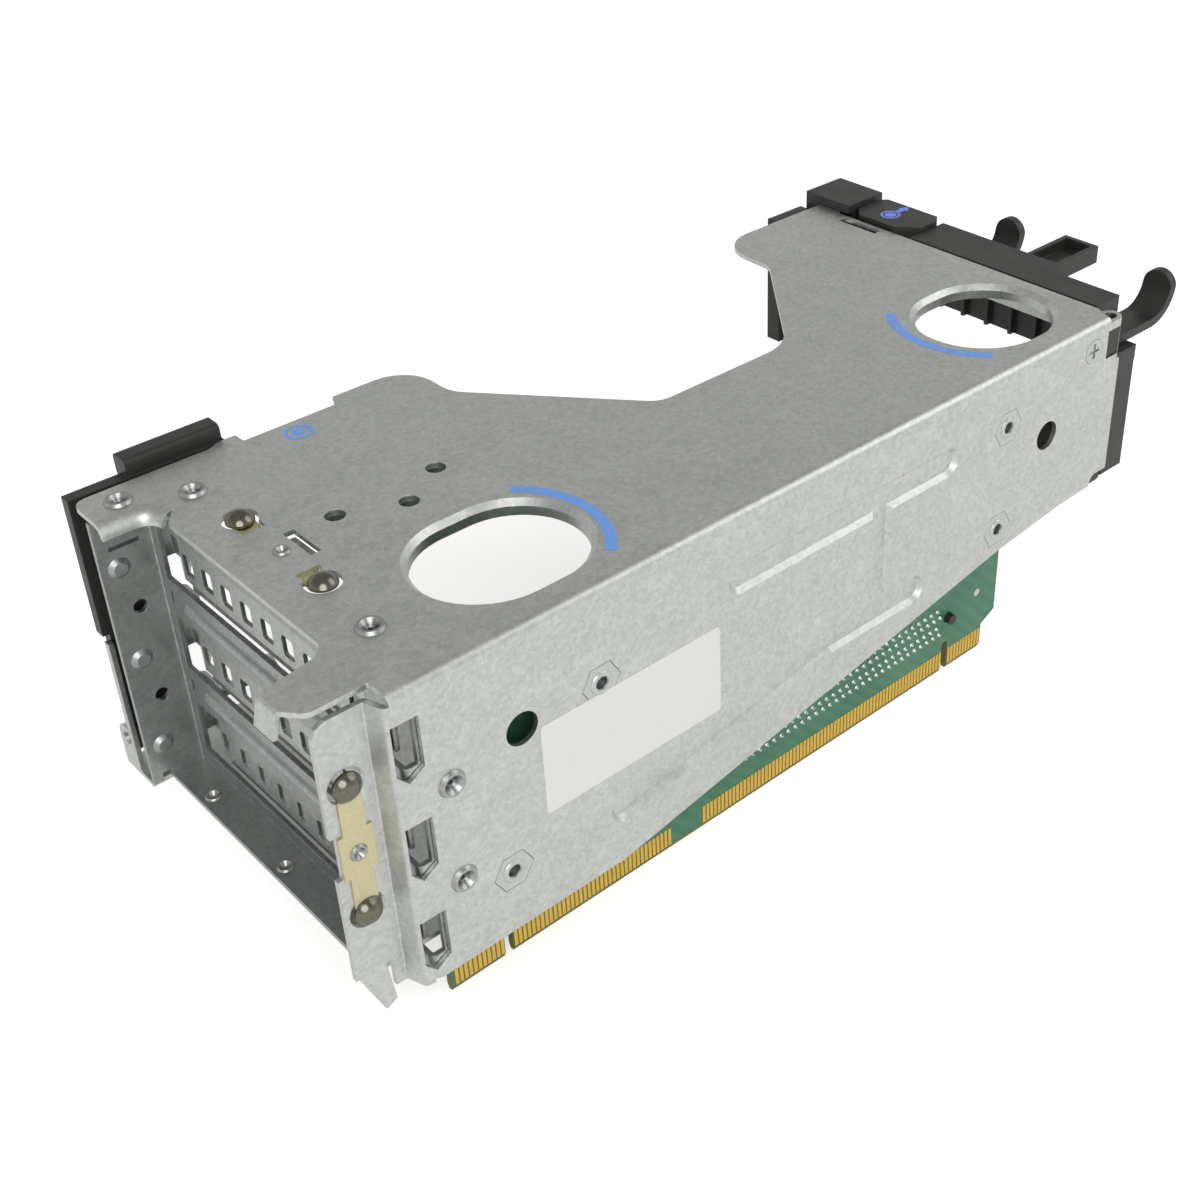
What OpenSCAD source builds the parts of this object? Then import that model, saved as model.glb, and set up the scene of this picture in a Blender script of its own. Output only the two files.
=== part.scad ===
// Riser cage bracket: a folded steel cage that holds an upright riser board,
// three low-profile card slots and a moulded card guide.
// x runs from the card brackets towards the card guide, from the first edge contact.
// y runs from the side wall towards the open side, from the middle of the board.
// z runs upwards from the tip of the board's edge connector.

/* [Cage] */
// Thickness of the folded steel sheets
sheet_t = 1; // [0.8:0.1:1.2]
// Height of the top plate above the tip of the edge connector
cage_h = 74.1; // [73:0.1:78]
// Depth of the cage, from the side wall to the far edge of the top plate
cage_w = 85.5; // [85:0.1:87]
// Outer radius of the long fold between side wall and top plate
fold_r = 1.8; // [1.5:0.1:2.4]
// Free end of the side wall, from the first edge contact
wall_end = 174; // [172:0.5:178]
// Lower edge of the side wall beside the card brackets
wall_low = 13.4; // [12:0.1:14]
// Depth of the pressed beads
bead_d = 1; // [0.5:0.1:1.2]
// Width of the two long beads
bead_w = 6.4; // [5:0.1:8]
// Width of the bead that joins them
bead_link_w = 5.6; // [4:0.1:6]
// Step from the side wall to the rear flange
step_d = 4; // [3:0.1:4.5]
// Radius of the hand holes in the top plate
hand_r = 13; // [10:0.5:14]
// Depth of the rolled rim of a hand hole, below the top face
hand_rim = 3; // [2:0.1:4]
// Radius of the two guide holes in the side wall
guide_hole_r = 3.2; // [2.5:0.1:4]
// Depth of the cable bay in the far edge of the top plate
bay_d = 46.3; // [40:0.1:50]
// Roll radius of the lip above the card brackets
lip_r = 2.8; // [2:0.1:3.2]
// Outer radius of the curl that wraps the card guide
curl_r = 2.4; // [2.2:0.1:2.6]

/* [Card slots] */
// Distance between neighbouring slots
slot_pitch = 20.32; // [20.2:0.02:20.5]
// Lower edge of the lowest slot opening
slot_low = 16.4; // [16:0.1:17]
// Height of a slot opening
slot_h = 12.4; // [11:0.1:13]
// Near edge of a slot opening, from the side wall
slot_near = 9.5; // [9:0.1:12]
// Strip of the slot panel between a slot opening and the column
slot_rim = 2.3; // [1.5:0.1:3]
// Strip of the top plate beyond the column that the card brackets bolt to
column_edge = 6.6; // [5:0.1:8]
// Reach of the column behind the slot panel
column_reach = 10.6; // [9:0.1:11]
// Sheet of the blank slot covers
cover_t = 0.8; // [0.6:0.1:1]
// Width of a slot cover
cover_h = 13; // [12:0.1:14]
// Width of one vent in a slot cover
vent_w = 3.6; // [2.5:0.1:4.2]
// Height of one vent in a slot cover
vent_h = 4.5; // [3:0.1:5.5]
// Distance between vents
vent_pitch = 6.7; // [6.2:0.1:7.2]
// Height of a slot cover's lower edge above its slot opening
cover_lift = 1.9; // [1.5:0.1:2.2]
// Rise of the ridges on the bars between the openings
ridge_rise = 0.9; // [0.5:0.1:1.2]
// Vents in the flat part of a slot cover
vent_count = 9; // [4:1:9]
// Length of the floor plate inside the cage
floor_len = 36; // [25:1:40]

/* [Riser board] */
// Thickness of the board
board_t = 1.6; // [1.4:0.1:1.8]
// Height of the standoffs between side wall and board
standoff_h = 6; // [5:0.1:7]
// Upper edge of the board
board_top = 70.5; // [69:0.5:71]
// Distance between edge contacts
contact_pitch = 1; // [1:0.01:1.01]
// Contacts of the short group, with the two places that its key takes
short_group = 51; // [20:1:52]
// Contacts of the long group, with the two places that its key takes
long_group = 84; // [60:1:84]
// Start of the long group
long_start = 59; // [58:0.1:60]
// Places between the outer end of a group and its key
key_place = 11; // [8:1:14]
// Width of a key notch
key_w = 1.9; // [1.5:0.1:2.2]
// Depth of a key notch
key_d = 7.7; // [6:0.1:8]
// Upper end of the contacts
contact_top = 5.4; // [4.5:0.1:6]
// Length of a card socket
socket_len = 89; // [70:1:89]
// Height of a card socket above the board
socket_h = 11.2; // [9:0.1:12]
// Width of a card socket
socket_w = 7.5; // [7:0.1:8]
// Thread core of the standoffs
thread_r = 1.25; // [1.2:0.05:1.4]
// Width across flats of a standoff head
hex_af = 7; // [6:0.1:8]

/* [Card guide] */
// Thickness of the guide frame
guide_t = 6; // [5:0.1:7]
// Lower edge of the guide frame
guide_low = 31; // [28:0.5:33]
// Reach of the top beam beyond the sheet
beam_reach = 11.8; // [10:0.1:13]
// Depth of the beam under the top plate
beam_h = 13.3; // [11:0.1:15]
// Pitch of the stiffening ribs
rib_pitch = 6.6; // [5:0.1:9]
// Width of a cable hook
hook_w = 7; // [5:0.1:8]
// Thickness of a cable hook
hook_t = 2; // [1.6:0.1:2.6]
// Inner radius of a cable hook
hook_r = 6; // [5:0.1:7]
// Reach of the cable arm
arm_len = 14; // [10:0.5:16]
// Width of the cable arm
arm_w = 9; // [7:0.1:10]

/* [Latches] */
// Thickness of the card bracket latch
latch_t = 2.6; // [2:0.1:3]
// Radius of the latch pins
pin_r = 1.2; // [1:0.1:1.4]
// Gap between moving pieces
gap = 0.3; // [0.25:0.05:0.4]
// Gap between fixed pieces that fit into each other
fit = 0.1; // [0.05:0.05:0.2]
// Travel of the release tab
tab_travel = 2; // [1:0.1:3]

/* [Hidden] */
$fn = 48;
arc_steps = 6;
inner_bend = 0.3;
e = 0.1;

// Side wall, measured from the middle of the board
wall_y = -(board_t / 2 + standoff_h + sheet_t);
board_y = sheet_t + standoff_h;
wall_start = -8.4;
under_top = cage_h - sheet_t;

// Rear flange, slot panel and column
flange_x = -19.6;
flange_top = cage_h - 2;
column_y = cage_w - column_edge;
slot_far = column_y - slot_rim;
panel_x = -7.1;
panel_in = panel_x + sheet_t;
column_x = panel_x - column_reach;
column_far = column_y + sheet_t;
ledge_top = wall_low;
ledge_x = -14;
floor_top = ledge_top - sheet_t;
floor_low = floor_top - sheet_t;

// Top plate
top_end = wall_end - 2.5;
hand_a = [24.5, 20.2];
hand_b = [30.2, 20.2];
hand_c = [wall_end - 23.3, 19.8];
hand_d = [wall_end - 19.5, 19.8];
lip_y = column_y - 3.1;
lip_x = -11.6;
lip_turn = 5.8;
tongue_x = -21.8;
tongue_y = [8.6, 14];

// Bead centre lines on the side wall, as x and z
bead_up_a = [63.6, 60.5];
bead_up_b = [119, 60.5];
bead_low_a = [34.8, 25.7];
bead_low_b = [87, 34.8];
bead_low_c = [110.6, 34.8];
bead_link_x = 100.4;

// Fasteners on the side wall, as x and z
standoff_at = [[31.2, 55.1], [10.2, 26.7], [137.3, 61.2], [136.5, 37.5]];
wall_rivet_at = [[0.5, 52], [0.5, 31.6]];
guide_hole_at = [[14.6, 54.9], [150.7, 54]];
guide_screw_at = [164.5, 68.3];
// Fasteners on the top plate, as x and y
top_rivet_at = [[-11.4, column_y + 0.3], [-0.4, column_y - 6], [-0.4, 16.6]];
small_hole_at = [[13.3, 48.3], [25.1, 43.2], [35, 49.3]];
floor_rivet_at = [[-11.5, column_y - 11.7], [-11.5, 41.1]];
rivet_r = 1.6;
rivet_head_r = 2.6;

// Contact springs: two domes and the rivet between them
dome_r = 2.6;
dome_hole_r = 3.3;
spring_t = 0.4;
side_spring_x = -15.4;
side_dome_z = [32.8, 58.8];
side_rivet_z = 45.4;
top_spring_x = 0.9;
top_dome_y = [32.4, 58.9];
top_rivet_y = 45.1;

// Card sockets, above each slot's lower edge
socket_x = 44.5;
socket_drop = 2.4;
peg_r = 1.2;

// Card guide, from the end of the top plate
guide_x = top_end + 0.7;
guide_near = sheet_t + 0.2;
guide_far = cage_w + 0.5;
column_end = guide_x + 9.5;
beam_low = cage_h - beam_h;
beam_end = guide_x + beam_reach;
hook_y = [6.5, 47.4];
hook_low = cage_h - 10;
arm_y = 24;
tab_y = [cage_w - 27.9, cage_w - 9.5];
tab_low = cage_h - 6;
catch_y = [tab_y[1] - 10, tab_y[1] - 1.5];
arm_far = 8.4;
flange_y = [arm_far + 2 * fit, 56];

// Hinges of the two latches, as y and z
bracket_hinge = [cage_w + 2.1, 19];
ear_end = 14.6;
bracket_latch_x = [column_x + sheet_t + gap, ear_end - sheet_t - 0.2];
ear_r = 3;
guide_hinge = [cage_w + 4.1, 36];
guide_latch_x = [guide_x - 11.5, guide_x + 11];
guide_latch_low = guide_hinge[1] + 5;

function slot_z(i) = slot_low + i * slot_pitch;
function socket_z(i) = slot_z(i) - socket_drop;

// A rounded outline from corners given as [x, y, radius]
function unit(v) = v / norm(v);
function xy(p) = [p[0], p[1]];
function turn(a) = a > 180 ? a - 360 : a < -180 ? a + 360 : a;
function corner(a, b, c, r) = r <= 0 ? [b] :
    let (u = unit(a - b), v = unit(c - b), half = acos(u * v) / 2,
         mid = b + unit(u + v) * r / sin(half),
         from = b + u * r / tan(half) - mid, to = b + v * r / tan(half) - mid,
         start = atan2(from[1], from[0]), sweep = turn(atan2(to[1], to[0]) - start))
    [for (k = [0:arc_steps]) mid + r * [cos(start + sweep * k / arc_steps),
                                        sin(start + sweep * k / arc_steps)]];
function rounded(p) = let (n = len(p))
    [for (i = [0:n - 1]) each corner(xy(p[(i + n - 1) % n]), xy(p[i]), xy(p[(i + 1) % n]), p[i][2])];

// Places its children in the frame of the side wall's outer face
module from_wall() translate([0, wall_y, 0]) children();

// Extrudes an x-z outline from y0 to y1
module upright(y0, y1) translate([0, y1, 0]) rotate([90, 0, 0]) linear_extrude(y1 - y0) children();

// Extrudes a y-z outline from x0 to x1
module lengthwise(x0, x1) translate([x0, 0, 0]) rotate([90, 0, 90]) linear_extrude(x1 - x0) children();

// Extrudes an x-y outline from z0 to z1
module flat(z0, z1) translate([0, 0, z0]) linear_extrude(z1 - z0) children();

// A box between two corners
module block(a, b) translate(a) cube(b - a);

// A rod along y from y0 to y1 at a place given as [x, z]
module rod_y(at, r, y0, y1) translate([at[0], y0, at[1]]) rotate([-90, 0, 0]) cylinder(h = y1 - y0, r = r);

// A rod along x from x0 to x1 at a place given as [y, z]
module rod_x(at, r, x0, x1) translate([x0, at[0], at[1]]) rotate([0, 90, 0]) cylinder(h = x1 - x0, r = r);

// Cross-section of a folded sheet along a centre line, its bends rounded
function left_of(a, b) = unit([a[1] - b[1], b[0] - a[0]]);
function bend_r(p, i, d) = let (a = p[i] - p[i - 1], b = p[i + 1] - p[i])
    (a[0] * b[1] - a[1] * b[0]) * d > 0 ? inner_bend : inner_bend + 2 * abs(d);
function beside(p, i, d) = let (n = len(p) - 1)
    i == 0 ? [each (p[0] + d * left_of(p[0], p[1])), 0] :
    i == n ? [each (p[n] + d * left_of(p[n - 1], p[n])), 0] :
    let (u = left_of(p[i - 1], p[i]), v = left_of(p[i], p[i + 1]))
    [each (p[i] + d * (u + v) / (1 + u * v)), bend_r(p, i, d)];
module folded(path, t = sheet_t) polygon(rounded([
    for (i = [0:len(path) - 1]) beside(path, i, t / 2),
    for (i = [len(path) - 1:-1:0]) beside(path, i, -t / 2)]));

// A run with round ends and sloped sides, r0 at its foot and r1 at its top
module run(a, b, r0, r1, h) {
    len = norm(b - a);
    translate([a[0], a[1], 0]) rotate(atan2(b[1] - a[1], b[0] - a[0])) {
        cylinder(h = h, r1 = r0, r2 = r1);
        translate([len, 0, 0]) cylinder(h = h, r1 = r0, r2 = r1);
        rotate([90, 0, 90]) linear_extrude(len)
            polygon([[-r0, 0], [r0, 0], [r1, h], [-r1, h]]);
    }
}

// The pressed beads as one solid, from depth y1 outwards to y0, grown by side
module beads(y0, y1, side) {
    h = y1 - y0;
    low = side - bead_d;
    high = side - bead_d + h;
    translate([0, y1, 0]) rotate([90, 0, 0]) {
        run(bead_up_a, bead_up_b, bead_w / 2 + low, bead_w / 2 + high, h);
        run(bead_low_a, bead_low_b, bead_w / 2 + low, bead_w / 2 + high, h);
        run(bead_low_b, bead_low_c, bead_w / 2 + low, bead_w / 2 + high, h);
        run([bead_link_x, bead_low_c[1]], [bead_link_x, bead_up_b[1]],
            bead_link_w / 2 + low, bead_link_w / 2 + high, h);
    }
}

// Side wall with its slanted lower edge and the notch for the guide's foot
module side_wall() upright(0, sheet_t) polygon(rounded([
    [wall_start, wall_low, 3], [34, wall_low, 6], [138, 31.8, 12],
    [wall_end - 15.6, 33.9, 0], [wall_end - 5.6, 34.2, 0], [wall_end - 5.4, 36.6, 2],
    [wall_end, 36.6, 0.4], [wall_end, cage_h - 10.4, 0.4], [wall_end - 1.6, cage_h - 10.4, 0],
    [wall_end - 1.6, cage_h - 1, 0], [top_end - 1.5, cage_h - 1, 0],
    [top_end - 1.5, cage_h - fold_r, 0], [wall_start, cage_h - fold_r, 0]]));

// Long fold between side wall and top plate
module top_fold() lengthwise(wall_start, top_end - 1.5) intersection() {
    translate([fold_r, cage_h - fold_r]) difference() {
        circle(r = fold_r);
        circle(r = fold_r - sheet_t);
    }
    translate([0, cage_h - fold_r]) square(fold_r);
}

// Top plate, with the deep bay in its far edge that leaves room for cables
module top_plate() flat(under_top, cage_h) {
    translate([lip_x, lip_y - lip_turn]) difference() {
        square(lip_turn);
        circle(r = lip_turn);
    }
    top_outline();
}
module top_outline() polygon(rounded([
    [wall_start, fold_r, 0], [wall_start, 5, 0.6], [tongue_x + 2.8, 5, 2],
    [tongue_x, tongue_y[0] - 0.1, 0.5], [tongue_x, tongue_y[1] + 0.1, 1],
    [-10.6, tongue_y[1] + 2, 4], [-8.6, tongue_y[1] + 4.4, 1.5],
    [-8.6, lip_y - lip_turn - 3.6, 1],
    [lip_x + lip_turn, lip_y - lip_turn, 0], [lip_x + lip_turn, lip_y, 0],
    [-17.8, lip_y, 0.4], [-17.8, cage_w - 1.2, 2.5], [9, cage_w - 1.2, 1], [11.5, cage_w, 1],
    [15.2, cage_w, 0.4], [15.2, cage_w - 3, 0.4], [35, cage_w - 3, 0.4], [36.2, cage_w, 0.6],
    [53.8, cage_w, 8], [53.8, cage_w - 14.4, 8], [80, cage_w - bay_d, 5.5],
    [114.1, cage_w - bay_d, 12], [138.6, cage_w - 16.7, 5], [138.9, cage_w, 9],
    [top_end + 2.8, cage_w, 0.4], [top_end + 2, cage_w - 5.7, 0.4], [top_end, cage_w - 6.9, 0.4],
    [top_end, 5, 2], [top_end - 1.5, fold_r, 0]]));

// Rolled lip above the card brackets: straight, then round the corner
module rear_lip() {
    lengthwise(-17.8, lip_x) lip_section(lip_y);
    translate([lip_x, lip_y - lip_turn, 0]) rotate_extrude(angle = 90) lip_section(lip_turn);
}
module lip_section(at) intersection() {
    translate([at, cage_h - lip_r]) difference() {
        circle(r = lip_r);
        circle(r = lip_r - sheet_t);
    }
    translate([at - lip_r, cage_h - lip_r]) square(lip_r);
}

// Rear flange, stepped in from the side wall, with the lead-in tab at its foot
module rear_flange() {
    mid = step_d + sheet_t / 2;
    difference() {
        flat(wall_low, flange_top) folded([[flange_x, mid], [-10.2, mid],
            [wall_start - 0.4, sheet_t / 2], [wall_start + 1, sheet_t / 2]]);
        // Rounded upper corner, tapered edge and seat of the side spring
        translate([0, 0, 0]) upright(step_d - 1, step_d + 3) {
            polygon([[flange_x - 1, flange_top + 1], [flange_x + 3, flange_top + 1],
                     [flange_x + 2.6, flange_top], [flange_x + 0.8, flange_top - 0.8],
                     [flange_x, flange_top - 2.6], [flange_x - 1, flange_top - 3]]);
            polygon([[flange_x - 1, wall_low + 6], [flange_x + 7, wall_low + 6],
                     [flange_x + 7, wall_low - 1], [flange_x - 1, wall_low - 1]]);
            translate([flange_x - 1, side_rivet_z - 4]) square([2, 8.8]);
        }
    }
    // The tab leans outwards below the flange
    translate([0, mid, wall_low + 6.2]) rotate([-24, 0, 0]) upright(-sheet_t / 2, sheet_t / 2)
        polygon([[flange_x + 0.4, 0.6], [flange_x + 5.8, 0.6], [flange_x + 5.4, -6.5],
                 [flange_x + 3.2, -7.4]]);
}

// Curl at the end of the side wall, wrapped round the card guide
module end_curl() flat(cage_h - 10.4, cage_h - 1) translate([wall_end - 1.6, curl_r]) {
    intersection() {
        difference() {
            circle(r = curl_r);
            circle(r = curl_r - sheet_t);
        }
        translate([0, -curl_r]) square([curl_r, 2 * curl_r]);
    }
    translate([-4, curl_r - sheet_t]) square([4, sheet_t]);
}

// Flange folded down from the end of the top plate
module end_flange() {
    mid = top_end - sheet_t / 2;
    translate([0, flange_y[1], 0]) rotate([90, 0, 0]) linear_extrude(flange_y[1] - flange_y[0])
        folded([[mid - 3, cage_h - sheet_t / 2], [mid, cage_h - sheet_t / 2],
                [mid, cage_h - 6.6]]);
}

// Rolled rim of a hand hole
module hand_rim(a, b) translate([0, 0, cage_h - hand_rim])
    run(a, b, hand_r + sheet_t, hand_r + sheet_t, hand_rim - sheet_t / 2);
module hand_cut(a, b) {
    translate([0, 0, cage_h - hand_rim - 1]) run(a, b, hand_r, hand_r, hand_rim + 2);
    translate([0, 0, cage_h - 1.2]) run(a, b, hand_r - e, hand_r + 1.2, 1.2 + e);
}

// One window with a pointed foot, for the tongue of a card bracket
module tongue_window(z) upright(-1, step_d + 0.5) polygon([
    [wall_start - 0.4, z + 1.4], [wall_start + 1.6, z - 0.9], [wall_start + 4.6, z + 0.9],
    [wall_start + 4.6, z + 11], [wall_start - 0.4, z + 11]]);

// Keyhole for a spring dome, its slot running dir along y
module keyhole(y, dir) flat(under_top - 1, cage_h + 1) {
    translate([top_spring_x, y]) circle(r = dome_hole_r);
    translate([top_spring_x - 2.2, dir > 0 ? y : y - 4.9]) square([4.4, 4.9]);
}

module cage_shell() color("silver") from_wall() difference() {
    union() {
        side_wall();
        top_fold();
        top_plate();
        rear_lip();
        rear_flange();
        end_curl();
        end_flange();
        beads(sheet_t - e, sheet_t + bead_d, 0.41 * sheet_t);
        hand_rim(hand_a, hand_b);
        hand_rim(hand_c, hand_d);
        // Tip of the rear tongue, bent down
        translate([0, tongue_y[1], 0]) rotate([90, 0, 0]) linear_extrude(tongue_y[1] - tongue_y[0])
            folded([[tongue_x + 1.8, cage_h - sheet_t / 2], [tongue_x, cage_h - sheet_t / 2],
                    [tongue_x - 1.1, cage_h - 5]]);
    }
    beads(-e, bead_d, 0);
    hand_cut(hand_a, hand_b);
    hand_cut(hand_c, hand_d);
    for (i = [0:2]) tongue_window(slot_z(i) + 0.2);
    for (p = guide_hole_at) rod_y(p, guide_hole_r, -1, 3);
    for (p = standoff_at) translate([p[0], -1, p[1]]) rotate([-90, 0, 0])
        cylinder(h = sheet_t + 2, d = (hex_af + 2 * fit) / cos(30), $fn = 6);
    for (p = wall_rivet_at) rod_y(p, rivet_r + fit, -1, sheet_t + 1);
    for (p = top_rivet_at) translate([p[0], p[1], under_top - 1]) cylinder(h = 3, r = rivet_r + fit);
    for (p = small_hole_at) translate([p[0], p[1], under_top - 1]) cylinder(h = 3, r = 1.9);
    // Countersunk seat of the guide screw
    translate([guide_screw_at[0], -e, guide_screw_at[1]]) rotate([-90, 0, 0])
        cylinder(h = sheet_t + 2 * e, r1 = 2.8 + fit, r2 = 1.6);
    // Window through the curl
    block([wall_end - 5, -1, cage_h - 9.2], [wall_end - 0.2, 1.6, cage_h - 2.8]);
    // Slots in the top plate: adjusting slot and the window of the release tab
    block([3.7, 40.6, under_top - 1], [5.8, 49.6, cage_h + 1]);
    block([top_end - 3.2, catch_y[0] - 1.5, under_top - 1], [top_end - 0.8, catch_y[1] + 1.3, cage_h + 1]);
    keyhole(top_dome_y[0], 1);
    keyhole(top_dome_y[1], -1);
    translate([top_spring_x, top_rivet_y, under_top - 1]) cylinder(h = 3, r = 1.1);
    for (z = side_dome_z) rod_y([side_spring_x, z], dome_hole_r, step_d - 1, step_d + 3);
    rod_y([side_spring_x, side_rivet_z], 1.1, step_d - 1, step_d + 3);
}

// Slot panel with three openings, ridged bars, column, ledge and joining tabs
module slot_frame() color("gainsboro") from_wall() difference() {
    union() {
        // Panel and near flange in one fold
        flat(floor_top + e, cage_h - fold_r - 0.2) folded([
            [5, 1.5 * sheet_t + fit], [panel_x + sheet_t / 2, 1.5 * sheet_t + fit],
            [panel_x + sheet_t / 2, column_y + sheet_t / 2],
            [column_x, column_y + sheet_t / 2]]);
        block([panel_x, 4, slot_z(2) + slot_h], [panel_in, column_far, under_top - fit]);
        // Ledge folded outwards from the foot of the panel
        block([ledge_x, slot_near, floor_top], [panel_in, column_y + e, ledge_top]);
        // Tabs under the top plate
        for (p = [top_rivet_at[1], top_rivet_at[2]])
            block([panel_x, p[1] - 6.6, under_top - sheet_t - fit], [5.5, p[1] + 6, under_top - fit]);
        block([column_x + 1, column_y - 3, under_top - sheet_t - fit],
              [panel_in, column_y + 4.2, under_top - fit]);
        for (i = [0:1]) bar_ridge(slot_z(i) + slot_h + (slot_pitch - slot_h) / 2);
        for (i = [0:2]) column_bump(slot_z(i) + 4.4);
    }
    for (i = [0:2]) block([panel_x - 2, slot_near, slot_z(i)], [panel_in + 2, slot_far, slot_z(i) + slot_h]);
    for (i = [0:1]) {
        rod_y([column_x + 5.6, slot_z(i) + 15.3], 1.4, column_y - 1, column_far + 1);
        translate([panel_x - 1, column_y - 2.9, slot_z(i) + slot_h + 4]) rotate([0, 90, 0])
            translate([-1.3, -0.4, 0]) cube([2.6, 0.8, 3]);
    }
    // Slit near the top of the column, room for the rivet and cut at its foot
    block([top_rivet_at[0][0] - 3, column_y - 1, under_top - 3], [top_rivet_at[0][0] + 3, column_far + 1,
        under_top - sheet_t - fit]);
    block([column_x + 2.4, column_y - 1, slot_z(2) + 8.2], [column_x + 8.3, column_far + 1, slot_z(2) + 9]);
    block([column_x + 2, column_y - 1, floor_top - 1], [column_x + 3.8, column_far + 1, ledge_top + 1]);
    for (p = wall_rivet_at) rod_y(p, rivet_r + fit, 0, 3 * sheet_t + 1);
    for (p = top_rivet_at) translate([p[0], p[1], under_top - 3]) cylinder(h = 4, r = rivet_r + fit);
    for (p = floor_rivet_at) translate([p[0], p[1], floor_low - 1]) cylinder(h = 4, r = 1 + fit);
    // Room for the tongues of the card brackets
    for (i = [0:2]) block([panel_x - 1, -1, slot_z(i) + 1.2], [panel_in + 1.8, 5, slot_z(i) + 11]);
}

// Ridge pressed along the bar between two openings
module bar_ridge(z) {
    r = slot_h + (slot_pitch - slot_h) / 2 - cover_lift - cover_h - fit;
    at = panel_x - ridge_rise + r;
    far = slot_far - 6.6;
    rod_y([at, z], r, slot_near + 2, far);
    for (y = [slot_near + 2, far]) translate([at, y, z]) sphere(r = r);
}

// Round bump that locates the tab of a card bracket
module column_bump(z) translate([column_x + 3.5, column_y - 0.8, z]) rotate([-90, 0, 0])
    cylinder(h = 0.8 + e, r1 = 1.3, r2 = 2.2);

// Floor plate, with the two ears that carry the latch pin
module floor_plate() color("silver") from_wall() difference() {
    union() {
        flat(floor_low, floor_top) polygon(rounded([
            [ledge_x + 0.5, slot_near + 0.5, 1], [floor_len, slot_near + 0.5, 2],
            [floor_len, column_y, 6], [ear_end, column_y, 0], [ear_end, bracket_hinge[0] + 2.4, 0],
            [column_x, bracket_hinge[0] + 2.4, 0], [column_x, column_y + 1, 0], [ledge_x + 0.5, column_y + 1, 0]]));
        for (x = [column_x, ear_end - sheet_t]) lengthwise(x, x + sheet_t) {
            translate(bracket_hinge) circle(r = ear_r);
            translate([bracket_hinge[0] - ear_r, floor_low])
                square([2 * ear_r, bracket_hinge[1] - floor_low]);
        }
        // Tall strip behind the tabs of the lower brackets
        block([column_x, bracket_hinge[0] - ear_r, floor_low],
              [column_x + sheet_t, bracket_hinge[0] - ear_r + 1.6, 43]);
    }
    rod_x(bracket_hinge, pin_r + fit, column_x - 1, ear_end + 1.4);
    for (p = floor_rivet_at) translate([p[0], p[1], floor_low - 1]) cylinder(h = 4, r = 1 + fit);
}

// Blank slot cover: a vented plate, stepped inwards, with a tab outside the column
module slot_cover(i) color("lightgray") from_wall() {
    z = slot_z(i) + cover_lift;
    x = panel_in + fit + cover_t / 2;
    side_y = column_far + fit + cover_t / 2;
    bend = column_y - 7.9;
    vent_z = z + 3.9;
    difference() {
        flat(z, z + cover_h) folded([[x, 3.4 + sheet_t], [x, bend], [x + 2.8, bend + 4.2],
            [x + 2.8, side_y], [column_x + 1, side_y]], cover_t);
        for (k = [0:vent_count - 1]) vent(x, bend - 2.5 - k * vent_pitch, vent_z);
        translate([x + 1.4, bend + 2.1, vent_z]) rotate([0, 0, -34]) translate([-2, -1.5, -vent_h / 2])
            cube([4, 3, vent_h]);
        // The foot narrows to a tongue
        block([x - 2, 0, z - 1], [x + 2, 8.4, z + 0.6]);
        block([x - 2, 0, z + 8.6], [x + 2, 8.4, z + cover_h + 1]);
        // Notches beside the bracket screw
        rod_y([column_x + 5.6, slot_z(i) + 15.3], 2, column_y, side_y + 2);
        // Room for the head of the rivet in the column's top
        translate([top_rivet_at[0][0], top_rivet_at[0][1],
            under_top - sheet_t - fit - rivet_cap(rivet_head_r) - fit]) cylinder(h = 3, r = rivet_head_r + fit);
    }
}
module vent(x, y, z) translate([x - 2, y, z]) lengthwise(0, 4) polygon(rounded([
    [-vent_w / 2, -vent_h / 2, 0.9], [vent_w / 2, -vent_h / 2, 0.5],
    [vent_w / 2, vent_h / 2, 1.2], [-vent_w / 2, vent_h / 2, 0.5]]));

// Latch over the bracket tabs, with a raised grip at its top
module bracket_latch() color("dimgray") from_wall() difference() {
    x0 = bracket_latch_x[0];
    x1 = bracket_latch_x[1];
    y0 = bracket_hinge[0] - latch_t / 2;
    y1 = bracket_hinge[0] + latch_t / 2;
    union() {
        lengthwise(x0, x1) {
            translate([y0, bracket_hinge[1]]) square([latch_t, cage_h - 0.6 - bracket_hinge[1]]);
            translate(bracket_hinge) circle(r = ear_r);
        }
        // Upper half reaches over the strip on the column
        block([column_x, y0, 44], [x0 + 1, y1, cage_h - 0.6]);
        // Grip
        lengthwise(-6, 13) polygon(rounded([[y0, cage_h - 8, 0], [y1, cage_h - 12, 0],
            [y1 + 2.6, cage_h - 1, 1], [y1 + 2.6, cage_h + 2.6, 1], [y0 + 0.6, cage_h + 2.6, 1]]));
        // Stiffening ribs and the pads that press on the tabs
        for (x = [x0 + 2, -2, x1 - 2]) block([x - 0.8, y1 - e, 26], [x + 0.8, y1 + 1.6, cage_h - 6]);
        for (i = [0:2]) block([x0 + 2, column_far + cover_t + 2 * fit + 0.2, slot_z(i) + 4],
                              [x0 + 8, y0 + e, slot_z(i) + 10]);
    }
    rod_x(bracket_hinge, pin_r + gap / 2, column_x - 1, ear_end + 1.4);
}
module bracket_latch_pin() color("gray") from_wall()
    rod_x(bracket_hinge, pin_r, column_x - 0.6, ear_end + 0.6);

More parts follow.
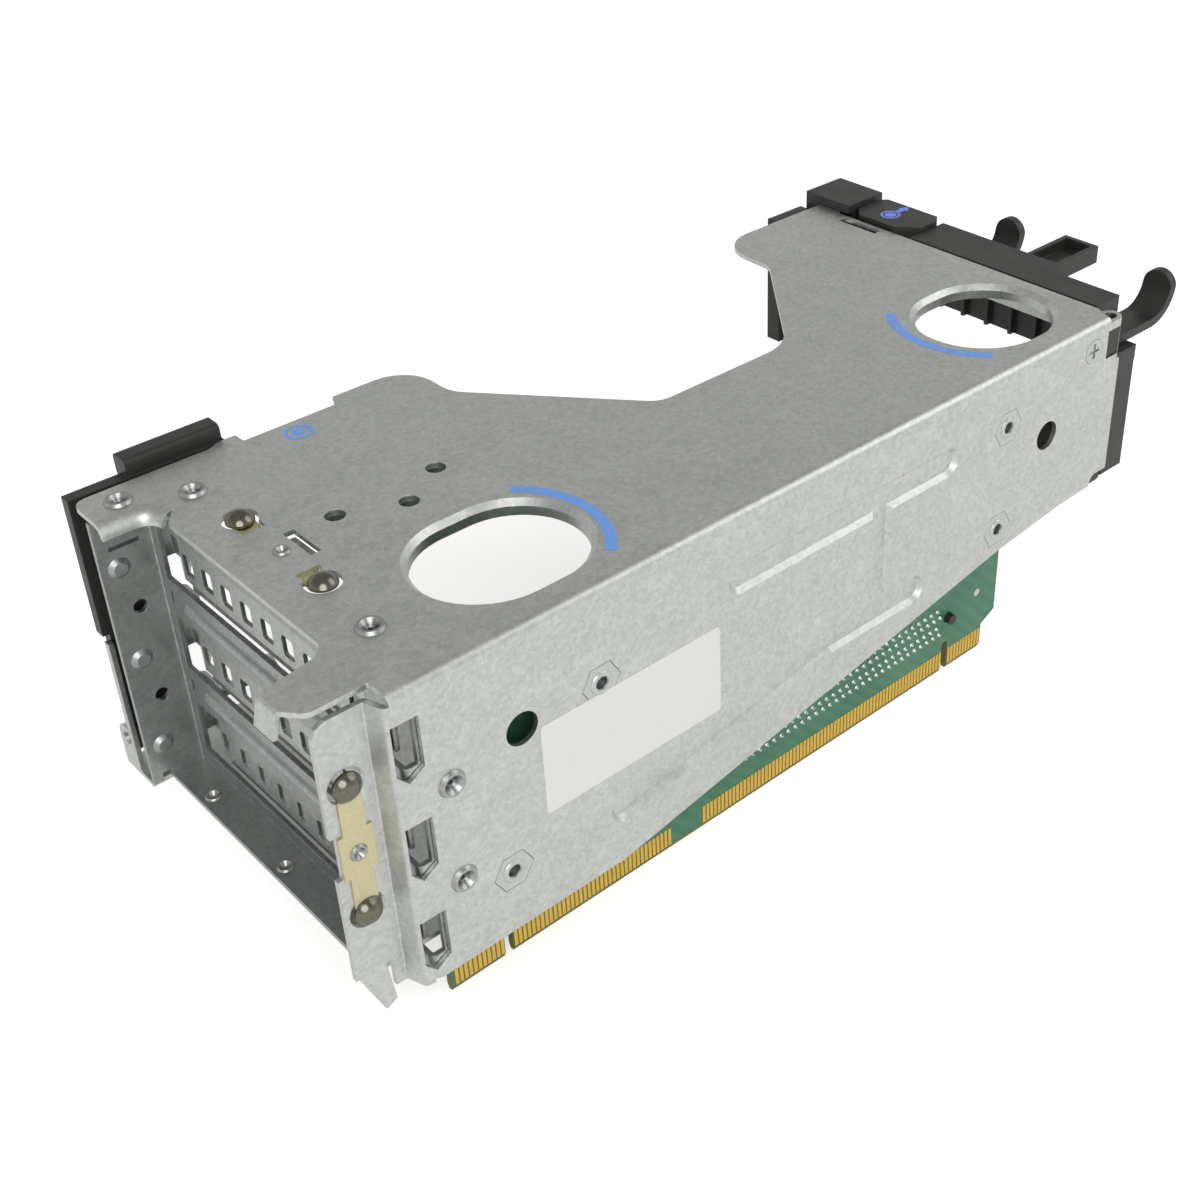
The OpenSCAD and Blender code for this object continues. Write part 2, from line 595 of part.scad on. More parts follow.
// Side contact spring: a strip on the flange with a dome at each end
module side_spring() color("khaki") from_wall() {
    y = step_d;
    difference() {
        upright(y - spring_t, y) {
            translate([side_spring_x - 3.1, side_rivet_z - 4.4]) square([6.2, 8.8]);
            translate([side_spring_x - 2.1, side_dome_z[0]]) square([4.2, side_dome_z[1] - side_dome_z[0]]);
            for (z = side_dome_z) translate([side_spring_x, z]) circle(r = dome_r);
        }
        rod_y([side_spring_x, side_rivet_z], 1.1, y - 2, y + 2);
    }
    for (z = side_dome_z) translate([side_spring_x, y - spring_t, z]) rotate([90, 0, 0]) dome();
}
// Top contact spring: a strip under the top plate, its domes rising through the keyholes
module top_spring() color("khaki") from_wall() {
    low = under_top - spring_t;
    difference() {
        union() {
            flat(low, under_top) translate([top_spring_x - 2.1, top_dome_y[0] + 4])
                square([4.2, top_dome_y[1] - top_dome_y[0] - 8]);
            for (s = [[top_dome_y[0], 1], [top_dome_y[1], -1]])
                lengthwise(top_spring_x - 2.1, top_spring_x + 2.1)
                    folded([[s[0] + s[1] * 4.6, low + spring_t / 2],
                            [s[0] + s[1] * 3.4, low + spring_t / 2],
                            [s[0], cage_h - 0.2]], spring_t);
            for (y = top_dome_y) translate([top_spring_x, y, cage_h - 0.4])
                cylinder(h = spring_t, r = dome_r);
        }
        translate([top_spring_x, top_rivet_y, low - 1]) cylinder(h = 3, r = 1.1);
    }
    for (y = top_dome_y) translate([top_spring_x, y, cage_h - 0.4 + spring_t]) dome();
}
// Dome of a contact spring, a flat-footed cap
module dome() {
    rise = 1.7;
    ball = (dome_r * dome_r + rise * rise) / (2 * rise);
    intersection() {
        translate([0, 0, rise - ball]) sphere(r = ball);
        cylinder(h = rise + 1, r = dome_r);
    }
}
module spring_rivets() color("silver") from_wall() {
    rivet_y([side_spring_x, side_rivet_z], 1, 1.6, step_d - spring_t, step_d + sheet_t);
    translate([top_spring_x, top_rivet_y, 0]) rivet_z(1, 1.6, under_top - spring_t, cage_h);
}

function rivet_cap(head) = head / 4;

// A rivet along y through sheets from y0 to y1, and the same along z, dished at its seen end
module rivet_y(at, r, head, y0, y1) translate([at[0], 0, at[1]]) rotate([90, 0, 0])
    rivet_z(r, head, -y1, -y0);
module rivet_z(r, head, z0, z1) {
    cap = rivet_cap(head);
    dish = head / 2;
    difference() {
        union() {
            translate([0, 0, z0 - cap]) cylinder(h = z1 - z0 + 2 * cap, r = r);
            translate([0, 0, z0 - cap]) cylinder(h = cap, r1 = head * 0.8, r2 = head);
            translate([0, 0, z1]) cylinder(h = cap, r1 = head, r2 = head * 0.85);
        }
        translate([0, 0, z1 + cap - dish]) cylinder(h = dish + e, r1 = head * 0.3, r2 = head * 0.72);
    }
}
module frame_rivets() color("silver") from_wall() {
    for (p = wall_rivet_at) rivet_y(p, rivet_r, rivet_head_r, 0, 2 * sheet_t + fit);
    for (p = top_rivet_at) translate([p[0], p[1], 0])
        rivet_z(rivet_r, rivet_head_r, under_top - sheet_t - fit, cage_h);
}
module floor_rivets() color("silver") from_wall() for (p = floor_rivet_at)
    translate([p[0], p[1], 0]) rivet_z(1, 1.7, floor_low, ledge_top);

// First place of each contact group and the place of its key
groups = [[0, short_group, key_place], [long_start, long_group, long_group - key_place - 2]];
function is_key(g, k) = k >= g[2] && k < g[2] + 2;

// Riser board with bevelled tip, two key notches and its mounting holes
module riser_board() color("seagreen") from_wall() difference() {
    end = long_start + long_group * contact_pitch + 0.3;
    bevel = 0.4;
    intersection() {
        lengthwise(-5, 160) polygon([[board_y + bevel, 0], [board_y + board_t - bevel, 0],
            [board_y + board_t, 1.1], [board_y + board_t, board_top], [board_y, board_top],
            [board_y, 1.1]]);
        upright(board_y - 1, board_y + board_t + 1) polygon(rounded([
            [-0.6, -1, 0], [end, -1, 0], [end, 6.2, 0.6], [end + 4.3, 8.3, 0.6],
            [end + 4.3, board_top + 1, 0], [-0.6, board_top + 1, 0]]));
    }
    for (g = groups) translate([0, 0, 0]) upright(board_y - 1, board_y + board_t + 1)
        translate([g[0] + (g[2] + 1) * contact_pitch - key_w / 2, -1]) {
            square([key_w, key_d + 1 - key_w / 2]);
            translate([key_w / 2, key_d + 1 - key_w / 2]) circle(d = key_w);
        }
    for (p = standoff_at) rod_y(p, 1.7, board_y - 1, board_y + board_t + 1);
    for (i = [0:2], x = [socket_x + 2, socket_x + socket_len - 2])
        rod_y([x, socket_z(i)], peg_r + fit, board_y - 1, board_y + board_t + 1);
}

// Gold contacts on both faces of the board
module edge_contacts() color("gold") from_wall()
    for (g = groups, k = [0:g[1] - 1], y = [board_y - 0.1, board_y + board_t])
        if (!is_key(g, k)) block([g[0] + (k + 0.15) * contact_pitch, y, 1.2],
                                 [g[0] + (k + 0.85) * contact_pitch, y + 0.1, contact_top]);

// Card socket: slot with its key, end ramps and two pegs through the board
module card_socket(i) color("dimgray") from_wall() {
    y0 = board_y + board_t;
    y1 = y0 + socket_h;
    z = socket_z(i);
    x1 = socket_x + socket_len;
    difference() {
        block([socket_x, y0, z - socket_w / 2], [x1, y1, z + socket_w / 2]);
        block([socket_x + 2, y0 + 2.5, z - 0.95], [socket_x + 12.6, y1 + 1, z + 0.95]);
        block([socket_x + 14.4, y0 + 2.5, z - 0.95], [x1 - 2, y1 + 1, z + 0.95]);
        // Wells over the two rows of contacts
        for (s = [-1, 1]) block([socket_x + 3, y1 - 1, z + s * 2 - 0.7], [x1 - 3, y1 + 1, z + s * 2 + 0.7]);
        // Relief along the board
        for (s = [-1, 1]) block([socket_x + 3, y0 - 1, z + s * socket_w / 2 - 0.8],
                                [x1 - 3, y0 + 0.7, z + s * socket_w / 2 + 0.8]);
    }
    for (x = [socket_x + 2, x1 - 2]) rod_y([x, z], peg_r, board_y - 1.4, y0 + 1);
}

// Hexagonal standoffs pressed into the side wall
module board_standoffs() color("lightgray") from_wall() for (p = standoff_at) difference() {
    union() {
        translate([p[0], 0, p[1]]) rotate([-90, 0, 0])
            cylinder(h = sheet_t, d = hex_af / cos(30), $fn = 6);
        rod_y(p, 2.9, sheet_t, board_y);
    }
    rod_y(p, thread_r, -1, board_y + 1);
}
module board_screws() color("silver") from_wall() for (p = standoff_at) difference() {
    union() {
        rod_y(p, thread_r - 0.03, board_y - 4, board_y + board_t + 1);
        translate([p[0], board_y + board_t, p[1]]) rotate([-90, 0, 0])
            cylinder(h = 2.2, r1 = 2.8, r2 = 2.3);
    }
    for (a = [0, 90]) translate([p[0], board_y + board_t + 1.2, p[1]]) rotate([0, a, 0])
        translate([-1.6, 0, -0.3]) cube([3.2, 3, 0.6]);
}

// Cable hook: a strip that runs outwards and curls up to a round tip
module hook(x, y) {
    mid_z = hook_low + hook_t / 2;
    bend_x = guide_x + 17.4;
    tip = cage_h - 1.6;
    translate([0, y, 0]) difference() {
        upright(-hook_w / 2, hook_w / 2) {
            translate([x, hook_low]) square([bend_x - x, hook_t]);
            translate([bend_x, hook_low + hook_t + hook_r]) intersection() {
                difference() {
                    circle(r = hook_r + hook_t);
                    circle(r = hook_r);
                }
                translate([0, -hook_r - hook_t]) square([hook_r + hook_t, hook_r + hook_t]);
            }
            translate([bend_x + hook_r, hook_low + hook_t + hook_r]) square([hook_t, tip - hook_low - hook_r]);
        }
        // Round tip
        translate([bend_x + hook_r - 1, 0, tip + hook_t - hook_w / 2]) lengthwise(0, hook_t + 2)
            difference() {
                translate([-hook_w, 0]) square([2 * hook_w, hook_w]);
                circle(d = hook_w);
            }
    }
}

// Moulded card guide: an open frame with top beam, near column and cable hooks
module card_guide() color("dimgray") from_wall() difference() {
    low_end = guide_x + guide_t;
    union() {
        // Frame round the card ends
        lengthwise(guide_x, low_end) difference() {
            polygon(rounded([[5.6, guide_low, 2.5], [guide_far, guide_low, 1],
                [guide_far, cage_h - 2, 0], [5.6, cage_h - 2, 0]]));
            polygon(rounded([[12, guide_low + 7, 1.5], [guide_far - 8, guide_low + 7, 1.5],
                [guide_far - 8, beam_low, 1.5], [12, beam_low, 1.5]]));
        }
        // Top beam, wider behind the cable arm
        block([guide_x, 5.6, cage_h - 5.2], [beam_end - 4, arm_y + 2, cage_h]);
        block([guide_x, arm_y, cage_h - 5.2], [beam_end, tab_y[0] - gap, cage_h]);
        block([guide_x, tab_y[0] - 1, cage_h - 9], [beam_end - 1.4, tab_y[1] + 4, tab_low - gap]);
        block([guide_x, tab_y[1] + gap, cage_h - 9], [beam_end, guide_far + 4, cage_h + 2.2]);
        // Near column beside the end of the side wall
        block([wall_end + 0.3, guide_near, guide_low + 3], [column_end, 7, cage_h - 12.8]);
        block([guide_x, 5.6, guide_low + 3], [column_end, 8.4, cage_h - 12.8]);
        // Tongue inside the curl
        block([wall_end - 4.8, sheet_t + fit, cage_h - 14], [wall_end - 1.6, 2 * curl_r - sheet_t - fit,
            cage_h - 1.4]);
        block([wall_end - 4.8, sheet_t + fit, cage_h - 14], [column_end, 8.4, cage_h - 10.4 - fit]);
        // Boss and arm of the guide screw
        rod_y(guide_screw_at, 3, sheet_t, arm_far);
        block([guide_screw_at[0], 2 * curl_r + fit, guide_screw_at[1] - 3], [guide_x + 2, arm_far, guide_screw_at[1] + 2]);
        // Foot in the notch of the side wall
        lengthwise(wall_end - 4.8, guide_x + 2) translate([4, guide_low + 3.2]) circle(r = 2.6);
        for (y = hook_y) hook(guide_x + 3, y);
        // Cable arm, a shallow channel
        block([beam_end - 1, arm_y, cage_h - 4], [beam_end + arm_len, arm_y + arm_w, cage_h]);
        // Stiffening ribs under the end flange of the sheet
        for (k = [0:9]) block([guide_x - 1.2, 13 + k * rib_pitch, beam_low],
                              [guide_x + e, 13.9 + k * rib_pitch, cage_h - 7]);
        // Ears of the latch hinge
        for (x = [guide_x, guide_x + 8.6]) lengthwise(x, x + 2.4) {
            translate(guide_hinge) circle(r = ear_r);
            translate([guide_far - 8, guide_hinge[1] - ear_r]) square([guide_hinge[0] - guide_far + 8, 2 * ear_r]);
        }
        block([guide_x, guide_far - 8, guide_low], [guide_x + 11, guide_far - 2, guide_hinge[1] + ear_r]);
    }
    // Pocket of the release tab
    block([guide_x - 2, tab_y[0] - gap, tab_low - gap], [beam_end + 1, tab_y[1] + gap, cage_h + 3]);
    // Channel in the cable arm
    block([beam_end, arm_y + 1.2, cage_h - 2.4], [beam_end + arm_len - 1.2, arm_y + arm_w - 1.2, cage_h + 1]);
    // Groove that takes the end of the top plate
    block([guide_x - 1, tab_y[1] - 1, under_top - fit], [top_end + 2.8 + fit, cage_w + fit, cage_h + fit]);
    // Screw core
    rod_y(guide_screw_at, 1.35, 0, 7.4);
    rod_x(guide_hinge, pin_r + fit, guide_x - 1, guide_x + 12);
}
module guide_screw() color("silver") from_wall() difference() {
    union() {
        translate([guide_screw_at[0], 0, guide_screw_at[1]]) rotate([-90, 0, 0])
            cylinder(h = sheet_t, r1 = 2.7, r2 = 1.4);
        rod_y(guide_screw_at, 1.3, 0.5, 7);
    }
    for (a = [0, 90]) translate([guide_screw_at[0], -1, guide_screw_at[1]]) rotate([0, a, 0])
        translate([-1.7, 0, -0.35]) cube([3.4, 1.6, 0.7]);
}

// Latch that closes the far side of the card guide
module guide_latch() color("dimgray") from_wall() difference() {
    y0 = guide_hinge[0] - 2;
    union() {
        block([guide_latch_x[0], y0, guide_latch_low], [guide_latch_x[1], y0 + 4, cage_h - 2]);
        lengthwise(guide_x + 2.4 + gap, guide_x + 8.6 - gap) {
            translate(guide_hinge) circle(r = ear_r);
            translate([y0, guide_hinge[1]]) square([4, 6]);
        }
    }
    // Room for the raised end of the top beam, then the ribbed back of the moulding
    for (k = [0:2]) block([guide_latch_x[0] + 1.5 + 7 * k, y0 + 1.4, guide_latch_low + 1.5],
                          [guide_latch_x[0] + 7 + 7 * k, y0 + 5, cage_h - 3.5]);
    block([guide_x - gap, y0 - 1, cage_h - 9 - gap], [guide_x + 13, y0 + 6, cage_h]);
    rod_x(guide_hinge, pin_r + gap / 2, guide_x - 14, guide_x + 14);
}
module guide_latch_pin() color("gray") from_wall()
    rod_x(guide_hinge, pin_r, guide_x - 0.4, guide_x + 11.4);

// Release tab in the top beam
module release_tab() color("dimgray") from_wall() {
    flat(tab_low, cage_h + 1) polygon(rounded([
        [guide_x + 0.2, tab_y[0] + 5, 0.3], [guide_x + 4, tab_y[0], 0.5],
        [beam_end - 2, tab_y[0], 0.5], [beam_end, tab_y[0] + 1.6, 0.5],
        [beam_end, tab_y[1] - 1.6, 0.5], [beam_end - 2, tab_y[1], 0.5],
        [guide_x + 3, tab_y[1], 0.5], [guide_x + 0.2, tab_y[1] - 3, 0.3]]));
    block([top_end - 3, catch_y[0], cage_h - 3.6], [guide_x + 1, catch_y[1], under_top - gap]);
}

cage_shell();
slot_frame();
floor_plate();
slot_cover(0);  // slot_cover_1
slot_cover(1);  // slot_cover_2
slot_cover(2);  // slot_cover_3
bracket_latch();
bracket_latch_pin();
side_spring();
top_spring();
spring_rivets();
frame_rivets();
floor_rivets();
riser_board();
edge_contacts();
card_socket(0);  // card_socket_1
card_socket(1);  // card_socket_2
card_socket(2);  // card_socket_3
board_standoffs();
board_screws();
card_guide();
guide_screw();
guide_latch();
guide_latch_pin();
release_tab();
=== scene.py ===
import math

import bmesh
import bpy
from mathutils import Matrix, Vector


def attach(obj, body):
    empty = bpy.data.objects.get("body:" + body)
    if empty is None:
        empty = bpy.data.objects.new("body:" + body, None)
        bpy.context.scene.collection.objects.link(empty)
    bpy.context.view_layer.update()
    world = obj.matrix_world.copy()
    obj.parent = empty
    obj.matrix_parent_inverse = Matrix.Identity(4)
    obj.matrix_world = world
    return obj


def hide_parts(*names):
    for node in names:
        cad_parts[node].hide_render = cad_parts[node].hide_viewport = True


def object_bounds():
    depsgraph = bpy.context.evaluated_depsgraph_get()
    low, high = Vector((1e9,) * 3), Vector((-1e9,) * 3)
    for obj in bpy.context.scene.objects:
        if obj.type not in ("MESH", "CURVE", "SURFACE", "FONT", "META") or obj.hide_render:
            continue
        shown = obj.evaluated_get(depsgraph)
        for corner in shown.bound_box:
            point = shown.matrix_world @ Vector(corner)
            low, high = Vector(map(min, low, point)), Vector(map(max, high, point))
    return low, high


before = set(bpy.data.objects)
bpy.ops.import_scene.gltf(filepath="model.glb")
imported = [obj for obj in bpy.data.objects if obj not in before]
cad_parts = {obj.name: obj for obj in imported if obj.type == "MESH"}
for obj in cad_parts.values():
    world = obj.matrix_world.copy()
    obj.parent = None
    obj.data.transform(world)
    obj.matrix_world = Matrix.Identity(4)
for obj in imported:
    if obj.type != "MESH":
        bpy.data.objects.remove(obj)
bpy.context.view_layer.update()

mm = 0.001
print("frame:", len(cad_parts), "nodes")

# The card end is at low X, the card guide at high X; the side wall faces -Y
part = {
    "wallY": -7.8,         # outer face of the side wall
    "topZ": 74.1,          # upper face of the top plate
    "boardNearY": -0.8,    # face of the board that looks at the wall
    "tabTopZ": 75.1,       # upper face of the release tab
}

# Camera, at the angle from which the part is usually shown
camera = {
    "place": (-102.96, -181.50, 226.79),
    "right": (0.73614, -0.67645, -0.02249),
    "down": (-0.38097, -0.38666, -0.83986),
    "lens": 50.186,
    "shift": (-0.0763, -0.0614),
}


def makeCamera():
    data = bpy.data.cameras.new("camera")
    data.sensor_width = 36
    data.lens = camera["lens"]
    data.shift_x, data.shift_y = camera["shift"]
    data.clip_start = 0.01
    data.clip_end = 30
    obj = bpy.data.objects.new("camera", data)
    right = Vector(camera["right"]).normalized()
    up = -Vector(camera["down"]).normalized()
    back = right.cross(up)
    turn = Matrix((right, up, back)).transposed().to_4x4()
    obj.matrix_world = Matrix.Translation(Vector(camera["place"]) * mm) @ turn
    bpy.context.collection.objects.link(obj)
    bpy.context.scene.camera = obj


makeCamera()
print("camera placed")


def toLinear(code):
    code = code.lstrip("#")
    channels = []
    for i in (0, 2, 4):
        c = int(code[i:i + 2], 16) / 255
        channels.append(c / 12.92 if c <= 0.04045 else ((c + 0.055) / 1.055) ** 2.4)
    return (*channels, 1.0)


def addNode(tree, kind, settings=None, links=None):
    node = tree.nodes.new(kind)
    for name, value in (settings or {}).items():
        if isinstance(name, int) or name in node.inputs:
            node.inputs[name].default_value = value
        else:
            setattr(node, name, value)
    for name, source in (links or {}).items():
        tree.links.new(source, node.inputs[name])
    return node


def newMaterial(name):
    material = bpy.data.materials.new(name)
    material.use_nodes = True
    tree = material.node_tree
    tree.nodes.clear()
    out = addNode(tree, "ShaderNodeOutputMaterial")
    where = addNode(tree, "ShaderNodeTexCoord").outputs["Object"]
    return material, tree, out, where


def perMm(size):
    return 1 / (size * mm)    # texture scale for a feature of that many millimetres


def blendColour(tree, factor, a, b, mode="MIX"):
    node = addNode(tree, "ShaderNodeMix", {"data_type": "RGBA", "blend_type": mode})
    for index, value in ((0, factor), (6, a), (7, b)):
        if hasattr(value, "is_linked"):
            tree.links.new(value, node.inputs[index])
        else:
            node.inputs[index].default_value = value
    return node.outputs[2]


def spread(tree, value, low, high, toLow=0.0, toHigh=1.0):
    settings = {"From Min": low, "From Max": high, "To Min": toLow, "To Max": toHigh}
    return addNode(tree, "ShaderNodeMapRange", settings, {"Value": value}).outputs["Result"]


def calc(tree, operation, a, b=0.0):
    node = addNode(tree, "ShaderNodeMath", {"operation": operation})
    for index, value in ((0, a), (1, b)):
        if hasattr(value, "is_linked"):
            tree.links.new(value, node.inputs[index])
        else:
            node.inputs[index].default_value = value
    return node.outputs[0]


def noise(tree, where, size, detail=3.0, rough=0.55):
    settings = {"Scale": perMm(size), "Detail": detail, "Roughness": rough}
    return addNode(tree, "ShaderNodeTexNoise", settings, {"Vector": where}).outputs["Fac"]


# Distance to the nearest of some places
def nearest(tree, where, places):
    near = None
    for place in places:
        settings = {"operation": "DISTANCE", 1: Vector(place) * mm}
        away = addNode(tree, "ShaderNodeVectorMath", settings, {0: where}).outputs["Value"]
        near = away if near is None else calc(tree, "MINIMUM", near, away)
    return near


def softEdge(tree, radius):
    node = addNode(tree, "ShaderNodeBevel", {"samples": 4, "Radius": radius * mm})
    return node.outputs["Normal"]


def relief(tree, height, depth, normal):
    settings = {"Strength": 1.0, "Distance": depth * mm}
    links = {"Height": height, "Normal": normal}
    return addNode(tree, "ShaderNodeBump", settings, links).outputs["Normal"]


# Electro-galvanised sheet steel, blanked and folded: fine grey spangle of about a
# millimetre, a matt skin from rolling, and edges rounded by 0.2 mm
def galvanisedSheet(name, pale, dark, rough):
    material, tree, out, where = newMaterial(name)
    cells = addNode(tree, "ShaderNodeTexVoronoi", {"Scale": perMm(0.8)}, {"Vector": where})
    spangle = addNode(tree, "ShaderNodeSeparateColor", None, {"Color": cells.outputs["Color"]})
    grit = noise(tree, where, 0.35, 2.0, 0.7)
    cloud = noise(tree, where, 9.0, 4.0)
    spots = noise(tree, where, 2.2, 3.0, 0.6)
    tone = calc(tree, "MULTIPLY", spangle.outputs["Red"], 0.4)
    tone = calc(tree, "ADD", tone, spread(tree, grit, 0.3, 0.7, -0.18, 0.18))
    tone = calc(tree, "ADD", tone, spread(tree, cloud, 0.3, 0.7, 0.1, 0.3))
    tone = calc(tree, "ADD", tone, spread(tree, spots, 0.35, 0.65, 0.0, 0.12))
    colour = blendColour(tree, tone, toLinear(dark), toLinear(pale))
    roughness = spread(tree, calc(tree, "ADD", cloud, spots), 0.7, 1.3, rough - 0.03, rough + 0.04)
    normal = relief(tree, grit, 0.01, softEdge(tree, 0.2))
    settings = {"Metallic": 1.0}
    shader = addNode(tree, "ShaderNodeBsdfPrincipled", settings,
                     {"Base Color": colour, "Roughness": roughness, "Normal": normal})
    tree.links.new(shader.outputs[0], out.inputs[0])
    return material


# Phosphor bronze strip, stamped and nickel-plated: warm pale strip, with the drawn
# domes more polished where they rub on the chassis, and their colour painted darker
# as painted dark reflection of the glossy domes
def platedBronze(name, strip, domeShadeColours, centres, reach):
    material, tree, out, where = newMaterial(name)
    onDome = spread(tree, nearest(tree, where, centres), (reach + 0.3) * mm, reach * mm)
    scratches = noise(tree, where, 0.5, 4.0, 0.7)
    stripColour = blendColour(tree, scratches, toLinear(strip[0]), toLinear(strip[1]))
    # dome colour: painted dark reflection of the glossy domes
    domeShadeColour = blendColour(tree, scratches, toLinear(domeShadeColours[0]), toLinear(domeShadeColours[1]))
    colour = blendColour(tree, onDome, stripColour, domeShadeColour)
    normal = relief(tree, scratches, 0.006, softEdge(tree, 0.1))
    shader = addNode(tree, "ShaderNodeBsdfPrincipled", {"Metallic": 1.0},
                     {"Base Color": colour, "Roughness": spread(tree, onDome, 0, 1, 0.36, 0.2),
                      "Normal": normal})
    tree.links.new(shader.outputs[0], out.inputs[0])
    return material


# Zinc-plated turned or headed steel: smoother and brighter than the sheet, with
# faint marks of 0.4 mm from the tool. At given dished ends a dark disc of painted
# shade stands for the shade in the hollow
def platedSteel(name, pale, dark, rough, dishes=(), dishRadius=1.2, dishShadeColour="#3A3C3B"):
    material, tree, out, where = newMaterial(name)
    marks = noise(tree, where, 0.4, 3.0, 0.6)
    colour = blendColour(tree, marks, toLinear(dark), toLinear(pale))
    # painted shade: a dark disc at each dished end
    if dishes:
        away = nearest(tree, where, dishes)
        dishShade = spread(tree, away, (dishRadius + 0.2) * mm, (dishRadius - 0.1) * mm)
        colour = blendColour(tree, dishShade, colour, toLinear(dishShadeColour))
    normal = relief(tree, marks, 0.01, softEdge(tree, 0.15))
    shader = addNode(tree, "ShaderNodeBsdfPrincipled", {"Metallic": 1.0},
                     {"Base Color": colour, "Roughness": spread(tree, marks, 0.3, 0.7, rough - 0.06,
                                                                rough + 0.08),
                      "Normal": normal})
    tree.links.new(shader.outputs[0], out.inputs[0])
    return material


# Hard gold over nickel on copper, electroplated: deep yellow, slightly brushed by
# insertion, with wipe marks along the contact
def hardGold(name, pale, dark):
    material, tree, out, where = newMaterial(name)
    along = addNode(tree, "ShaderNodeMapping", {"Scale": (4.0, 1.0, 0.6)}, {"Vector": where})
    wipe = noise(tree, along.outputs["Vector"], 0.5, 3.0, 0.6)
    colour = blendColour(tree, wipe, toLinear(dark), toLinear(pale))
    shader = addNode(tree, "ShaderNodeBsdfPrincipled", {"Metallic": 1.0},
                     {"Base Color": colour, "Roughness": spread(tree, wipe, 0.3, 0.7, 0.26, 0.4),
                      "Normal": relief(tree, wipe, 0.01, softEdge(tree, 0.05))})
    tree.links.new(shader.outputs[0], out.inputs[0])
    return material


# Glass-epoxy laminate under green solder resist: glossy skin, faint tracks every
# 0.5 mm that run to the contacts, and the bare yellow-brown weave on its cut edges
def resistLaminate(name, pale, dark, core):
    material, tree, out, where = newMaterial(name)
    axes = addNode(tree, "ShaderNodeSeparateXYZ", None, {"Vector": where})
    wander = addNode(tree, "ShaderNodeCombineXYZ", None, {"X": axes.outputs["X"], "Z": axes.outputs["Z"]})
    bands = addNode(tree, "ShaderNodeTexWave",
                    {"Scale": perMm(3.2) / 2, "Distortion": 1.6, "Detail": 1.0,
                     "Detail Scale": 0.6, "bands_direction": "DIAGONAL"},
                    {"Vector": wander.outputs["Vector"]}).outputs["Fac"]
    tracks = spread(tree, bands, 0.45, 0.62)
    cloud = noise(tree, where, 14.0, 3.0)
    mix = calc(tree, "ADD", calc(tree, "MULTIPLY", tracks, 0.22), spread(tree, cloud, 0.3, 0.7, 0.0, 0.6))
    green = blendColour(tree, mix, toLinear(dark), toLinear(pale))
    normal = addNode(tree, "ShaderNodeNewGeometry").outputs["Normal"]
    facing = addNode(tree, "ShaderNodeSeparateXYZ", None, {"Vector": normal})
    onFace = spread(tree, calc(tree, "ABSOLUTE", facing.outputs["Y"]), 0.96, 0.99)
    weave = noise(tree, where, 0.2, 2.0)
    edge = blendColour(tree, weave, toLinear(core[0]), toLinear(core[1]))
    colour = blendColour(tree, onFace, edge, green)
    shader = addNode(tree, "ShaderNodeBsdfPrincipled", {"IOR": 1.5},
                     {"Base Color": colour, "Roughness": spread(tree, onFace, 0, 1, 0.75, 0.38),
                      "Normal": relief(tree, tracks, 0.012, softEdge(tree, 0.08))})
    tree.links.new(shader.outputs[0], out.inputs[0])
    return material


# PC-ABS or glass-filled nylon, injection moulded with a spark-eroded texture of
# about 0.15 mm, drawn at 0.3 mm so that it shows; a soft sheen and edges rounded by 0.3 mm
def mouldedPlastic(name, pale, dark, rough, grain):
    material, tree, out, where = newMaterial(name)
    texture = noise(tree, where, grain, 2.0, 0.6)
    cloud = noise(tree, where, 7.0, 3.0)
    colour = blendColour(tree, cloud, toLinear(dark), toLinear(pale))
    shader = addNode(tree, "ShaderNodeBsdfPrincipled", {"IOR": 1.53},
                     {"Base Color": colour,
                      "Roughness": spread(tree, cloud, 0.3, 0.7, rough - 0.06, rough + 0.06),
                      "Normal": relief(tree, texture, 0.02, softEdge(tree, 0.3))})
    tree.links.new(shader.outputs[0], out.inputs[0])
    return material


# Screen-printed or pad-printed ink and label film: flat colour with a fine 0.2 mm
# mottle from the mesh, satin
def printedFilm(name, pale, dark, rough):
    material, tree, out, where = newMaterial(name)
    mottle = noise(tree, where, 0.6, 3.0, 0.65)
    colour = blendColour(tree, spread(tree, mottle, 0.3, 0.7), toLinear(dark), toLinear(pale))
    shader = addNode(tree, "ShaderNodeBsdfPrincipled", {"IOR": 1.48, "Roughness": rough},
                     {"Base Color": colour, "Normal": relief(tree, mottle, 0.004, softEdge(tree, 0.05))})
    tree.links.new(shader.outputs[0], out.inputs[0])
    return material


